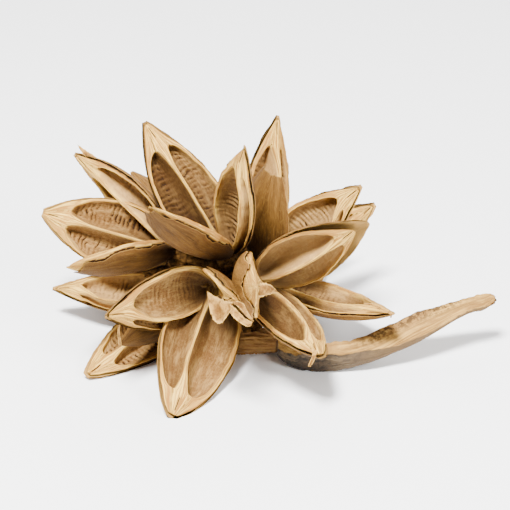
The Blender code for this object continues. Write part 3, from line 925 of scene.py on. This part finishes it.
def tube(name, material, rings):
    """A closed smooth tube through these rings of points, with an end disc on the first and last."""
    skin = bmesh.new()
    loops = [[skin.verts.new(point) for point in ring] for ring in rings]
    count = len(rings[0])
    for one, two in zip(loops, loops[1:]):
        for i in range(count):
            skin.faces.new((one[i], one[(i + 1) % count], two[(i + 1) % count], two[i]))
    for loop in (loops[0], loops[-1]):
        middle = skin.verts.new(sum((vert.co for vert in loop), Vector()) / count)
        for i in range(count):
            skin.faces.new((middle, loop[(i + 1) % count], loop[i]))
    mesh = closed_mesh(name, skin, SHARP_EDGE)
    mesh.materials.append(material)
    return mesh


def lumpy_rings(path, radii, count, sides, coarse, ridges=0.0):
    """Rings round a path, roughened by coarse lumps and by ridges that run along it, both in metres."""
    places = [seen(*point) for point in path]
    rings = []
    for k in range(count):
        t = k / (count - 1)
        middle = smooth_path(places, t)
        along = (smooth_path(places, min(t + 0.01, 1)) - smooth_path(places, max(t - 0.01, 0))).normalized()
        first = along.cross(NEAR).normalized()
        second = along.cross(first)
        radius = smooth_path(radii, t) * MM
        ring = []
        for j in range(sides):
            turn = math.tau * j / sides
            out = math.cos(turn) * first + math.sin(turn) * second
            lump = coarse * noise.fractal((middle + out * radius) * LUMPS_PER_METRE, 0.6, 2.2, 4)
            around = Vector((math.cos(turn) * 5, math.sin(turn) * 5, t * 2))
            ridge = ridges * noise.fractal(around, 0.6, 2.2, 3)
            ring.append(middle + out * (radius + lump + ridge))
        rings.append(ring)
    return rings


def core_finish(patch):
    """Dark crumbly pith with tan crumbs, its near black partly painted shade where the capsules crowd
    together.
    """
    place = patch.add("ShaderNodeTexCoord").out("Object")
    lumps = patch.noise(place, 260.0, 5.0, 0.7)
    pith_and_shade_black, crumb_tan = (0.012, 0.005, 0.001), (0.13, 0.060, 0.014)
    colour = patch.blend(lumps.smooth(0.35, 0.7), pith_and_shade_black, crumb_tan)
    bump = patch.add("ShaderNodeBump", None, {"Strength": 1.0, "Distance": 0.0012, "Height": lumps})
    return {"Base Color": colour, "Roughness": 0.85, "Normal": bump, "Specular IOR Level": 0.05}


def bark_finish(patch):
    """Dry brown bark with fibres along it."""
    place = patch.add("ShaderNodeTexCoord").out("Object")
    split = patch.add("ShaderNodeSeparateXYZ", None, {0: place})
    stretched = patch.vector(split * 40, split.out("Y") * 420, split.out("Z") * 420)
    fibres = patch.noise(stretched, 1.0, 4.0, 0.65)
    blotch = patch.noise(place, 110.0, 3.0, 0.5)
    bark_brown, bark_tan, blotch_tan = (0.12, 0.050, 0.012), (0.34, 0.180, 0.055), (0.25, 0.14, 0.048)
    colour = patch.blend(fibres.smooth(0.35, 0.68), bark_brown, bark_tan)
    colour = patch.blend(blotch.smooth(0.55, 0.7) * 0.6, colour, blotch_tan)
    bump = patch.add("ShaderNodeBump", None, {"Strength": 0.8, "Distance": 0.0008, "Height": fibres})
    return {"Base Color": colour, "Roughness": 0.75, "Normal": bump, "Specular IOR Level": 0.12}


core_pith_and_shade = finish_of("core_pith_and_shade", core_finish)
stalk_bark = finish_of("stalk_bark", bark_finish)
core_rings = [lumpy_rings(CORE, CORE_RADII, count=60, sides=56, coarse=0.0016)]
for base, valves in CAPSULES.values():
    start = min((Vector(point) for point in CORE), key=lambda point: (point - Vector(base)).length)
    neck = [tuple(start.lerp(Vector(base), share)) for share in (0, 0.5, 1.06)]
    core_rings.append(lumpy_rings(neck, NECK_RADII, count=28, sides=32, coarse=0.0014))
for line, radii in ((LEFT_GAP, LEFT_GAP_RADII), (LOWER_GAP, LOWER_GAP_RADII)):
    core_rings.append(lumpy_rings(line, radii, count=36, sides=32, coarse=0.0014))
core = joined("core", [tube("core", core_pith_and_shade, rings) for rings in core_rings], [core_pith_and_shade])
stalk_rings = lumpy_rings(STALK, STALK_RADII, count=90, sides=96, coarse=0.0004, ridges=0.0009)
stalk = joined("stalk_bark", [tube("stalk", stalk_bark, stalk_rings)], [stalk_bark])
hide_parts("stalk")
for piece in (core, stalk):
    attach(piece, "root")


# Bract. One long dry leaf, a trough that starts round the stalk's end and trails off to the right. It is tan
# inside, weathered grey and dark outside, ragged along both edges and blunt at its tip. Three lines give its
# keel, its near edge and its far edge.
BRACT_KEEL = (
    (28.5, -39, -10), (36, -44.5, -8), (45, -47, -6), (56, -47, -5), (77, -42.6, -6), (103, -30.4, -9),
    (127, -17.6, -13), (138, -14.6, -15), (145.4, -9.8, -16.5),
)
BRACT_NEAR = (
    (28.5, -37, -7), (36, -39, -1), (45, -39, 2), (56, -39, 3), (77, -37.5, 1), (103, -30, -3),
    (127, -17.2, -9), (138, -14.2, -12), (145, -12.0, -14.5),
)
BRACT_FAR = (
    (28.5, -31.5, -14), (36, -31.5, -16), (45, -32.5, -15.5), (56, -33.4, -14.5), (77, -29.8, -15),
    (103, -17.8, -17), (127, -10.8, -18), (138, -7.9, -17.5), (145, -7.2, -17),
)


def bract_mesh(rows, columns):
    """The bract's closed shell, with along, across and outside stored on its points."""
    lines = [[seen(*point) for point in line] for line in (BRACT_NEAR, BRACT_KEEL, BRACT_FAR)]
    thick, blunt_start, blunt_length = 0.0011, 0.94, 0.0625
    inner, outer = [], []
    for i in range(rows):
        t = i / (rows - 1)
        near, keel, far = (smooth_path(line, t) for line in lines)
        breadth = math.sqrt(1 - (max(t - blunt_start, 0) / blunt_length) ** 2)
        row = []
        for j in range(columns):
            u = j / (columns - 1)
            fray = 0.03 * ragged(t, u, 11, 9, 3) * min(max(blunt_start - t, 0) / 0.14, 1)
            u = 0.5 + (u - 0.5 + fray) * breadth
            point = near * (1 - u) * (1 - 2 * u) + keel * 4 * u * (1 - u) + far * u * (2 * u - 1)
            fold = 0.0010 * (1 - 0.7 * t) * noise.fractal(Vector((t * 9, u * 5, 8)), 0.6, 2.1, 4)
            row.append(point + UP * fold)
        inner.append(row)
    for i in range(rows):
        row = []
        for j in range(columns):
            du = inner[i][min(j + 1, columns - 1)] - inner[i][max(j - 1, 0)]
            dt = inner[min(i + 1, rows - 1)][j] - inner[max(i - 1, 0)][j]
            row.append(inner[i][j] - thick * dt.cross(du).normalized())
        outer.append(row)
    return closed_sheet(
        "bract", (inner, outer),
        lambda i, j, side: {"along": i / (rows - 1), "across": j / (columns - 1), "outside": side},
    )


def bract_finish(patch):
    """Streaked tan inside, darker in mottled patches by the far edge. Outside grey brown, black in flecks
    near the start, painted shade low on it there, and tan at the tip.
    """
    place = patch.add("ShaderNodeTexCoord").out("Object")
    s, across, outside = (mark(patch, name) for name in ("along", "across", "outside"))
    fibres = patch.noise(patch.vector(s * 6, across * 22, 0.0), 1.0, 5.0, 0.65, 2.0)
    blotch = patch.noise(patch.vector(s * 9, across * 2.5, 5.0), 1.0, 4.0, 0.6, 1.0)
    fine = patch.noise(place, 420.0, 4.0, 0.65)
    inner_brown, inner_cream = (0.18, 0.090, 0.021), (0.50, 0.290, 0.074)
    blotch_tan, far_edge_brown = (0.21, 0.105, 0.028), (0.055, 0.026, 0.008)
    inside = patch.blend(fibres.smooth(0.35, 0.65), inner_brown, inner_cream)
    inside = patch.blend(blotch.smooth(0.46, 0.62) * 0.75, inside, blotch_tan)
    far_edge = across.smooth(0.74, 0.96) * s.smooth(0.42, 0.52) * (1 - s.smooth(0.70, 0.82))
    inside = patch.blend(far_edge * fine.smooth(0.42, 0.56) * 0.9, inside, far_edge_brown)

    grey_dark, grey_light, grey_blotch = (0.035, 0.025, 0.016), (0.15, 0.105, 0.060), (0.06, 0.042, 0.028)
    outer_tan, fleck_black, underside_shade_black = (0.15, 0.085, 0.030), (0.025, 0.021, 0.017), (0.012, 0.011, 0.011)
    weathered = patch.blend(fibres.smooth(0.35, 0.7), grey_dark, grey_light)
    weathered = patch.blend(blotch.smooth(0.45, 0.62) * 0.85, weathered, grey_blotch)
    weathered = patch.blend(s.smooth(0.3, 0.75) * 0.85, weathered, outer_tan)
    dark_flecks = fine.smooth(0.5, 0.6) * (1 - s.smooth(0.3, 0.6))
    weathered = patch.blend(dark_flecks * 0.8, weathered, fleck_black)
    # painted shade low on the outside towards the keel, near the start
    underside = (1 - across.smooth(0.30, 0.48)) * across.smooth(0.12, 0.30) * (1 - s.smooth(0.10, 0.42))
    weathered = patch.blend(underside * 0.85, weathered, underside_shade_black)

    rim_brown = (0.09, 0.036, 0.009)
    colour = patch.blend(outside, inside, weathered)
    tip_edge = s.smooth(0.92, 0.96) * (1 - across.smooth(0.04, 0.12))
    brown_end = tip_edge.at_least(s.smooth(0.988, 0.996))
    colour = patch.blend(brown_end * 0.85, colour, rim_brown)
    relief = fibres + 0.4 * fine
    bump = patch.add("ShaderNodeBump", None, {"Strength": 0.7, "Distance": 0.0008, "Height": relief})
    return {"Base Color": colour, "Roughness": 0.7, "Normal": bump, "Specular IOR Level": 0.12}


bract_leaf = finish_of("bract_leaf", bract_finish)
bract = joined("bract_leaf", [bract_mesh(rows=220, columns=56)], [bract_leaf])
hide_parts("bract")
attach(bract, "root")
